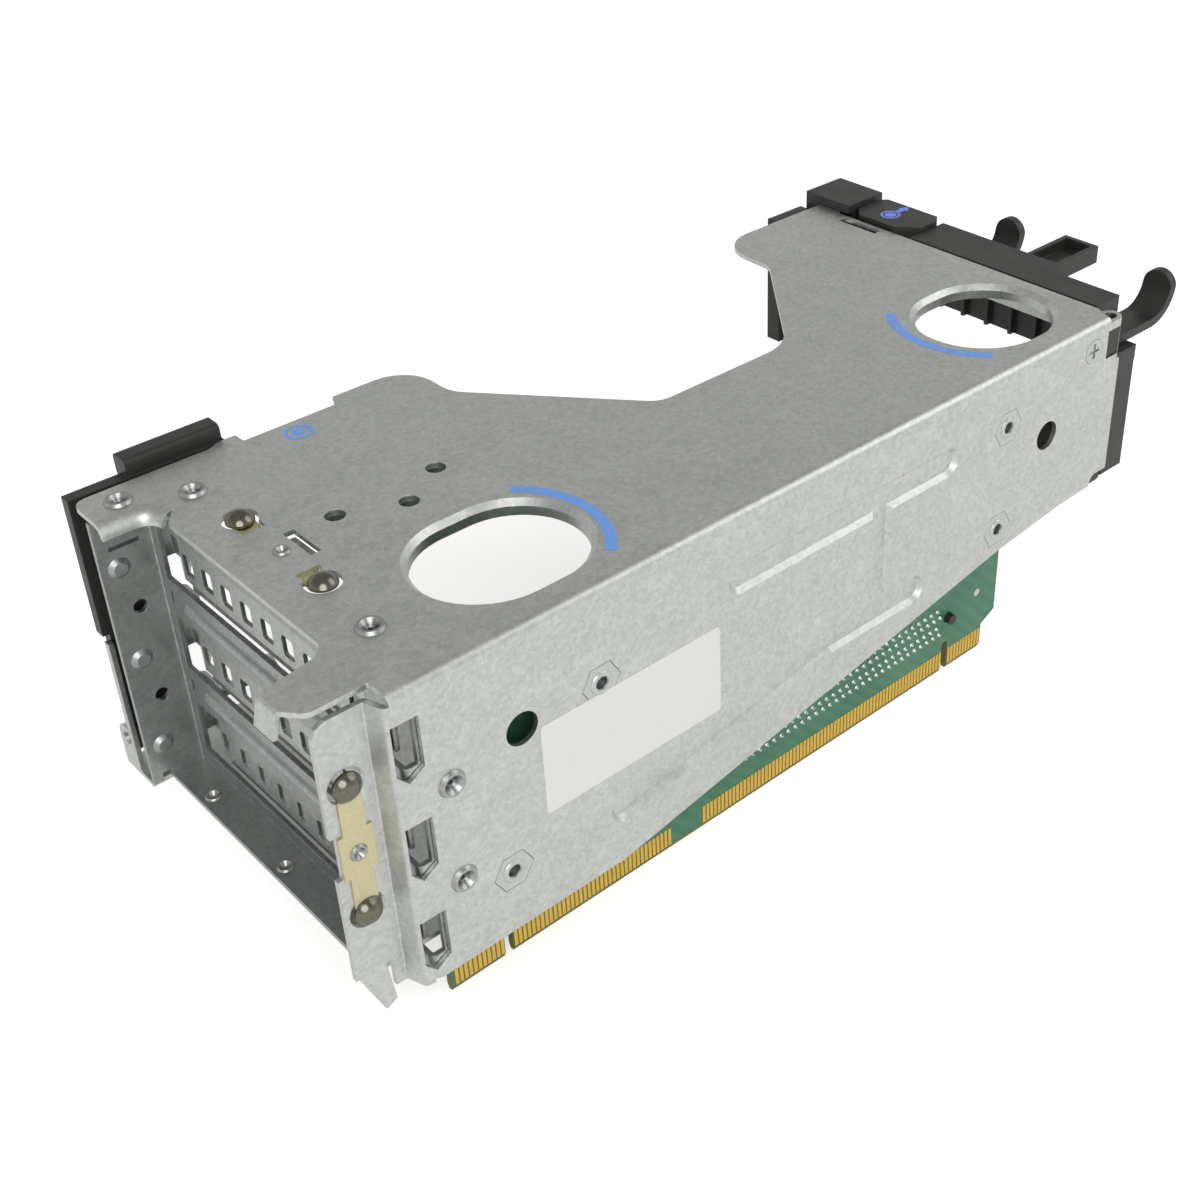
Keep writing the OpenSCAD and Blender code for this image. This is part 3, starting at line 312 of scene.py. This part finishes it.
sideDomes = [(-15.4, -4.3, 32.8), (-15.4, -4.3, 58.8)]
topDomes = [(0.9, 24.6, 75.0), (0.9, 51.1, 75.0)]
# Dished rivet ends, each given a disc of painted shade in its hollow
dishedEnds = [(0.5, -8.2, 52.0), (0.5, -8.2, 31.6),
              (-11.4, 71.4, 74.5), (-0.4, 65.1, 74.5), (-0.4, 8.8, 74.5)]
finishes = {
    "zincSheet": galvanisedSheet("galvanisedSheetSteel", "#DEE0DD", "#BABDBA", 0.42),
    # The slot frame is the cage's galvanised sheet, with its colours painted darker as painted shade of the
    # recess it sits in
    "shadedFrameSheet": galvanisedSheet("galvanisedFrameSteelShaded", "#BBBEBC", "#989B99", 0.38),
    "coverSheet": galvanisedSheet("galvanisedCoverSteel", "#D2D4D2", "#A9ACAA", 0.36),
    "springStrip": platedBronze("nickelPlatedBronze", ("#E2DBB8", "#C4BA90"),
                                # second pair: painted dark reflection on the domes
                                ("#8F8C7F", "#545148"), sideDomes + topDomes, 2.75),
    "rivetSteel": platedSteel("headedRivetSteel", "#C4C5C2", "#8B8D8A", 0.33),
    "dishedRivetSteel": platedSteel("dishedRivetSteel", "#C4C6C4", "#8D908E", 0.33, dishedEnds),
    "turnedSteel": platedSteel("turnedStandoffSteel", "#DADDDB", "#B6B9B7", 0.36),
    "gold": hardGold("hardGoldPlate", "#FFD76A", "#D9A63C"),
    "laminate": resistLaminate("resistCoatedLaminate", "#4F8468", "#2F6A4E", ("#7F7A4A", "#5C5A38")),
    "socketPlastic": mouldedPlastic("mouldedSocketNylon", "#26272A", "#1B1C1E", 0.5, 0.25),
    "guidePlastic": mouldedPlastic("mouldedGuidePlastic", "#2C2C29", "#21211F", 0.46, 0.3),
    "markInk": printedFilm("touchMarkInk", "#79A9F2", "#6B9BE8", 0.5),
    "tabInk": printedFilm("tabMarkInk", "#8398F6", "#7388EC", 0.5),
    "labelFilm": printedFilm("whiteLabelFilm", "#E2E3E1", "#DBDCDA", 0.45),
    "tinSolder": platedSteel("tinnedSolder", "#E8EAEA", "#B4B8B8", 0.25),
}
nodeFinish = {
    "cage_shell": "zincSheet", "slot_frame": "shadedFrameSheet", "floor_plate": "zincSheet",
    "slot_cover_1": "coverSheet", "slot_cover_2": "coverSheet", "slot_cover_3": "coverSheet",
    "side_spring": "springStrip", "top_spring": "springStrip",
    "spring_rivets": "rivetSteel", "frame_rivets": "dishedRivetSteel", "floor_rivets": "rivetSteel",
    "board_standoffs": "turnedSteel", "board_screws": "turnedSteel", "guide_screw": "turnedSteel",
    "bracket_latch_pin": "turnedSteel", "guide_latch_pin": "turnedSteel",
    "riser_board": "laminate", "edge_contacts": "gold",
    "card_socket_1": "socketPlastic", "card_socket_2": "socketPlastic", "card_socket_3": "socketPlastic",
    "card_guide": "guidePlastic", "guide_latch": "guidePlastic", "release_tab": "guidePlastic",
    "bracket_latch": "guidePlastic",
}
for nodeName, finish in nodeFinish.items():
    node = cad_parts[nodeName]
    for slot in node.material_slots:
        slot.material = finishes[finish]
print("materials:", len(finishes))


def makePiece(name, finish, body, bm):
    mesh = bpy.data.meshes.new(name)
    bmesh.ops.recalc_face_normals(bm, faces=bm.faces)
    bm.to_mesh(mesh)
    bm.free()
    mesh.materials.append(finishes[finish])
    obj = bpy.data.objects.new(name, mesh)
    bpy.context.collection.objects.link(obj)
    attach(obj, body)
    return obj


# A thin plate from an outline of (u, v) points, laid at a place with two directions
def addPlate(bm, outline, place, uAxis, vAxis, thick):
    u, v = Vector(uAxis), Vector(vAxis)
    n = u.cross(v)
    base = [Vector(place) + u * p[0] + v * p[1] for p in outline]
    low = [bm.verts.new(p * mm) for p in base]
    high = [bm.verts.new((p + n * thick) * mm) for p in base]
    bm.faces.new(low[::-1])
    bm.faces.new(high)
    count = len(outline)
    for i in range(count):
        j = (i + 1) % count
        bm.faces.new((low[i], low[j], high[j], high[i]))


# A turned shape from rings of (radius, height), round an axis along Y through (x, z), or
# along Z through (x, y); a loop joins its last ring to its first, an open one is capped
def addTurned(bm, u, v, rings, sides, loop=False, axis="Y"):
    made = []
    for radius, height in rings:
        made.append([])
        for i in range(sides):
            a = 2 * math.pi * i / sides
            across, along = u + radius * math.cos(a), v + radius * math.sin(a)
            point = (across, height, along) if axis == "Y" else (across, along, height)
            made[-1].append(bm.verts.new(Vector(point) * mm))
    pairs = list(zip(made, made[1:] + made[:1])) if loop else list(zip(made, made[1:]))
    for first, second in pairs:
        for i in range(sides):
            j = (i + 1) % sides
            bm.faces.new((first[i], first[j], second[j], second[i]))
    if not loop:
        bm.faces.new(made[0])
        bm.faces.new(made[-1][::-1])


def addBox(bm, low, high):
    made = bmesh.ops.create_cube(bm, size=1)["verts"]
    for vert in made:
        vert.co = Vector([(high[i] if vert.co[i] > 0 else low[i]) * mm for i in range(3)])


def smooth(obj, limit=0.6):
    for face in obj.data.polygons:
        face.use_smooth = True
    obj.data.set_sharp_from_angle(angle=limit)


def arcBand(inner, outer, start, end, steps):
    angles = [math.radians(start + (end - start) * i / steps) for i in range(steps + 1)]
    out = [(outer * math.cos(a), outer * math.sin(a)) for a in angles]
    back = [(inner * math.cos(a), inner * math.sin(a)) for a in reversed(angles)]
    return out + back


# Touch marks printed beside the hand holes and near the latch
touchMark = {
    "rear": {"centre": (27.1, 12.6), "inner": 17.8, "outer": 19.9, "start": -46, "end": 46},
    "front": {"centre": (152.5, 12.6), "inner": 17.7, "outer": 19.8, "start": 134, "end": 226},
    "dot": {"centre": (24.3, 70.3), "core": 1.3, "inner": 2.1, "outer": 2.8},
    "thick": 0.03,
    "lift": 0.004,
}


def makeTouchMarks():
    z = part["topZ"] + touchMark["lift"]
    for key in ("rear", "front"):
        mark = touchMark[key]
        bm = bmesh.new()
        band = arcBand(mark["inner"], mark["outer"], mark["start"], mark["end"], 40)
        addPlate(bm, band, (*mark["centre"], z), (1, 0, 0), (0, 1, 0), touchMark["thick"])
        makePiece("touchMark_" + key, "markInk", "cage", bm)
    dot = touchMark["dot"]
    bm = bmesh.new()
    place = (*dot["centre"], z)
    addPlate(bm, arcBand(0.02, dot["core"], 0, 180, 20), place, (1, 0, 0), (0, 1, 0), touchMark["thick"])
    addPlate(bm, arcBand(0.02, dot["core"], 180, 360, 20), place, (1, 0, 0), (0, 1, 0), touchMark["thick"])
    for half in (0, 180):
        addPlate(bm, arcBand(dot["inner"], dot["outer"], half, half + 180, 24), place,
                 (1, 0, 0), (0, 1, 0), touchMark["thick"])
    makePiece("touchMark_dot", "markInk", "cage", bm)


makeTouchMarks()

# Round mark with an arrow on the release tab
tabMark = {"centre": (177.3, 59.9), "core": 1.35, "inner": 1.75, "outer": 2.35, "shaft": 1.3,
           "head": 3.0, "tip": 6.4, "neck": 4.2, "thick": 0.03, "lift": 0.004}


def makeTabMark():
    bm = bmesh.new()
    place = (*tabMark["centre"], part["tabTopZ"] + tabMark["lift"])
    for half in (0, 180):
        for inner, outer in ((0.02, tabMark["core"]), (tabMark["inner"], tabMark["outer"])):
            addPlate(bm, arcBand(inner, outer, half, half + 180, 20), place,
                     (1, 0, 0), (0, 1, 0), tabMark["thick"])
    w, h = tabMark["shaft"] / 2, tabMark["head"] / 2
    arrow = [(tabMark["outer"] + 0.1, -w), (tabMark["neck"], -w), (tabMark["neck"], -h),
             (tabMark["tip"], 0), (tabMark["neck"], h), (tabMark["neck"], w), (tabMark["outer"] + 0.1, w)]
    addPlate(bm, arrow, place, (1, 0, 0), (0, 1, 0), tabMark["thick"])
    makePiece("tabMark", "tabInk", "release_tab", bm)


makeTabMark()

# Bare white label on the side wall
label = {"x": (18.0, 58.0), "z": (34.4, 53.1), "corner": 0.8, "thick": 0.06}


def makeLabel():
    x0, x1 = label["x"]
    z0, z1 = label["z"]
    r = label["corner"]
    outline = []
    turns = ((x1 - r, z0 + r, -90), (x1 - r, z1 - r, 0), (x0 + r, z1 - r, 90), (x0 + r, z0 + r, 180))
    for cx, cz, start in turns:
        for i in range(7):
            a = math.radians(start + 15 * i)
            outline.append((cx + r * math.cos(a), cz + r * math.sin(a)))
    bm = bmesh.new()
    addPlate(bm, outline, (0, part["wallY"] - 0.004, 0), (1, 0, 0), (0, 0, 1), label["thick"])
    makePiece("wallLabel", "labelFilm", "cage", bm)


makeLabel()

# Soldered pins of the card sockets on the near face of the board
pins = {
    "firstX": 47.6, "pitch": 2.0, "count": 41, "rows": (3.25, 1.25, -1.25, -3.25),
    "socketZ": (14.0, 34.32, 54.64), "pad": 0.5, "pin": 0.24, "rise": 0.28, "stub": 0.55, "sides": 10,
}


def makePins():
    y = part["boardNearY"]
    profile = [(pins["pad"], y + 0.01), (pins["pad"], y - 0.03), (pins["pin"] * 1.6, y - pins["rise"] * 0.6),
               (pins["pin"], y - pins["rise"]), (pins["pin"], y - pins["stub"]),
               (pins["pin"] * 0.6, y - pins["stub"] - 0.08)]
    bm = bmesh.new()
    for socketZ in pins["socketZ"]:
        for rowIndex, rowZ in enumerate(pins["rows"]):
            for i in range(pins["count"]):
                x = pins["firstX"] + i * pins["pitch"] + (rowIndex % 2) * pins["pitch"] / 2
                addTurned(bm, x, socketZ + rowZ, profile, pins["sides"])
    smooth(makePiece("solderedPins", "tinSolder", "cage", bm), 1.2)


makePins()

# Raised rings round the threads of the standoffs, and the test pad of the board
ring = {"at": ((31.2, 55.1), (10.2, 26.7), (137.3, 61.2), (136.5, 37.5)),
        "inner": 1.35, "crest": 1.75, "outer": 2.3, "rise": 0.35}
testPad = {"at": (140.9, 15.9), "radius": 0.9, "rise": 0.05}


def makeRings():
    y = part["wallY"]
    section = [(ring["inner"], y + 0.2), (ring["inner"], y - ring["rise"] * 0.6),
               (ring["crest"], y - ring["rise"]), (ring["outer"] - 0.2, y - ring["rise"] * 0.7),
               (ring["outer"], y + 0.01)]
    bm = bmesh.new()
    for x, z in ring["at"]:
        addTurned(bm, x, z, section, 32, loop=True)
    smooth(makePiece("standoffRings", "turnedSteel", "cage", bm), 1.2)


def makeTestPad():
    y = part["boardNearY"]
    bm = bmesh.new()
    profile = [(testPad["radius"], y + 0.01), (testPad["radius"], y - testPad["rise"])]
    addTurned(bm, *testPad["at"], profile, 24)
    makePiece("testPad", "tinSolder", "cage", bm)


makeRings()
makeTestPad()

# Black bush behind the front guide hole
bush = {"at": (150.7, 54.0), "inner": 3.25, "outer": 4.3, "start": 1.02, "end": 6.4}


def makeBush():
    near, far = part["wallY"] + bush["start"], part["wallY"] + bush["end"]
    section = [(bush["inner"], near), (bush["outer"], near), (bush["outer"], far), (bush["inner"], far)]
    bm = bmesh.new()
    addTurned(bm, *bush["at"], section, 40, loop=True)
    smooth(makePiece("guideHoleBush", "guidePlastic", "cage", bm))


makeBush()

# Tongue of the card guide, which fills the window of the curl
curlPad = {"low": (169.15, -7.45, 65.1), "high": (173.3, -6.6, 71.15)}
# Strip lanced down below the adjusting slot of the top plate
slotTab = {"low": (3.4, 32.4, 71.7), "high": (6.1, 42.2, 72.2)}
# Lower edge of each slot cover, joggled inwards behind the bar below it
coverFoot = {"x": (-5.2, -4.7), "y": (3.5, 62.6), "slotZ": (16.4, 36.72, 57.04),
             "below": 0.6, "above": 2.2}
# Drawn collars below the three small holes of the top plate
collars = {"at": ((13.3, 40.5), (25.1, 35.4), (35.0, 41.5)),
           "inner": 1.9, "outer": 2.4, "top": 73.08, "low": 70.6}


def makeSmallParts():
    bm = bmesh.new()
    addBox(bm, curlPad["low"], curlPad["high"])
    makePiece("curlPad", "guidePlastic", "cage", bm)
    bm = bmesh.new()
    addBox(bm, slotTab["low"], slotTab["high"])
    makePiece("lancedTab", "shadedFrameSheet", "cage", bm)
    bm = bmesh.new()
    for z in coverFoot["slotZ"]:
        (x0, x1), (y0, y1) = coverFoot["x"], coverFoot["y"]
        addBox(bm, (x0, y0, z - coverFoot["below"]), (x1, y1, z + coverFoot["above"]))
    makePiece("coverFeet", "coverSheet", "cage", bm)
    bm = bmesh.new()
    for x, y in collars["at"]:
        section = [(collars["inner"], collars["top"]), (collars["outer"], collars["top"]),
                   (collars["outer"], collars["low"]), (collars["inner"], collars["low"])]
        addTurned(bm, x, y, section, 32, loop=True, axis="Z")
    smooth(makePiece("holeCollars", "shadedFrameSheet", "cage", bm))


makeSmallParts()

# Card bracket latch: below its grip it is only as wide as the column that it covers
latchCut = {"low": (-6.4, 70.0, 10.0), "high": (16.0, 92.0, 65.5)}


def makeLatch():
    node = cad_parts["bracket_latch"]
    bm = bmesh.new()
    addBox(bm, latchCut["low"], latchCut["high"])
    cutMesh = bpy.data.meshes.new("latchCut")
    bm.to_mesh(cutMesh)
    bm.free()
    cutter = bpy.data.objects.new("latchCut", cutMesh)
    obj = bpy.data.objects.new("bracketLatchBody", node.data.copy())
    obj.matrix_world = node.matrix_world.copy()
    for item in (cutter, obj):
        bpy.context.collection.objects.link(item)
    trim = obj.modifiers.new("trim", "BOOLEAN")
    trim.operation = "DIFFERENCE"
    trim.object = cutter
    bpy.context.view_layer.update()
    shape = bpy.data.meshes.new_from_object(obj.evaluated_get(bpy.context.evaluated_depsgraph_get()))
    obj.modifiers.clear()
    obj.data = shape
    bpy.data.objects.remove(cutter)
    obj.data.materials.clear()
    obj.data.materials.append(finishes["guidePlastic"])
    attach(obj, "bracket_latch")
    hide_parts("bracket_latch")


makeLatch()
print("pieces made")

# Pale floor and soft studio light
studio = {
    "floor": ("#F4F4F2", "#F1F1EF"), "floorSize": 12.0, "cloud": 400.0,
    "seenGlow": 0.5, "mirroredGlow": 0.2, "aim": (0.07, 0.02, 0.04),
    "sky": ("#FFFFFF", "#B2B2B0"),
    "key": {"place": (-0.75, -1.15, 1.05), "size": 1.4, "power": 14.0},
    "fill": {"place": (0.9, -0.5, 0.8), "size": 0.9, "power": 3.0},
}


# How much light a background adds where the camera or a reflection sees it
def seenBy(tree, seen, mirrored):
    ray = addNode(tree, "ShaderNodeLightPath")
    other = calc(tree, "MAXIMUM", ray.outputs["Is Glossy Ray"], ray.outputs["Is Transmission Ray"])
    return calc(tree, "ADD", calc(tree, "MULTIPLY", ray.outputs["Is Camera Ray"], seen),
                calc(tree, "MULTIPLY", other, mirrored))


def makeFloor():
    bm = bmesh.new()
    half = studio["floorSize"] / 2
    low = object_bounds()[0][2]
    corners = ((-half, -half), (half, -half), (half, half), (-half, half))
    bm.faces.new([bm.verts.new((x, y, low)) for x, y in corners])
    mesh = bpy.data.meshes.new("floor")
    bm.to_mesh(mesh)
    bm.free()
    material, tree, out, where = newMaterial("paleFloor")
    shade = noise(tree, where, studio["cloud"], 2.0)
    pale, dark = studio["floor"]
    colour = blendColour(tree, shade, toLinear(pale), toLinear(dark))
    glow = seenBy(tree, studio["seenGlow"], studio["mirroredGlow"])
    shader = addNode(tree, "ShaderNodeBsdfPrincipled",
                     {"Roughness": 0.9, "Emission Color": toLinear("#FFFFFF")},
                     {"Base Color": colour, "Emission Strength": glow})
    tree.links.new(shader.outputs[0], out.inputs[0])
    mesh.materials.append(material)
    obj = bpy.data.objects.new("floor", mesh)
    bpy.context.collection.objects.link(obj)


def makeLights():
    for name in ("key", "fill"):
        settings = studio[name]
        data = bpy.data.lights.new(name, "AREA")
        data.shape = "DISK"
        data.size = settings["size"]
        data.energy = settings["power"]
        obj = bpy.data.objects.new(name, data)
        place = Vector(settings["place"])
        aim = Vector(studio["aim"]) - place
        obj.matrix_world = Matrix.Translation(place) @ aim.to_track_quat("-Z", "Y").to_matrix().to_4x4()
        bpy.context.collection.objects.link(obj)
    world = bpy.data.worlds.new("studio")
    bpy.context.scene.world = world
    world.use_nodes = True
    tree = world.node_tree
    tree.nodes.clear()
    out = addNode(tree, "ShaderNodeOutputWorld")
    way = addNode(tree, "ShaderNodeTexCoord").outputs["Generated"]
    height = addNode(tree, "ShaderNodeSeparateXYZ", None, {"Vector": way}).outputs["Z"]
    fade = spread(tree, height, 0.0, 0.6)
    colour = blendColour(tree, fade, toLinear(studio["sky"][0]), toLinear(studio["sky"][1]))
    seen = seenBy(tree, 1.0, 0.0)
    colour = blendColour(tree, seen, colour, toLinear("#FFFFFF"))
    light = addNode(tree, "ShaderNodeBackground", None,
                    {"Color": colour, "Strength": spread(tree, seen, 0.0, 1.0, 0.9, 1.0)})
    tree.links.new(light.outputs[0], out.inputs[0])


makeFloor()
makeLights()
bpy.context.scene.view_settings.view_transform = "Standard"
print("studio set")
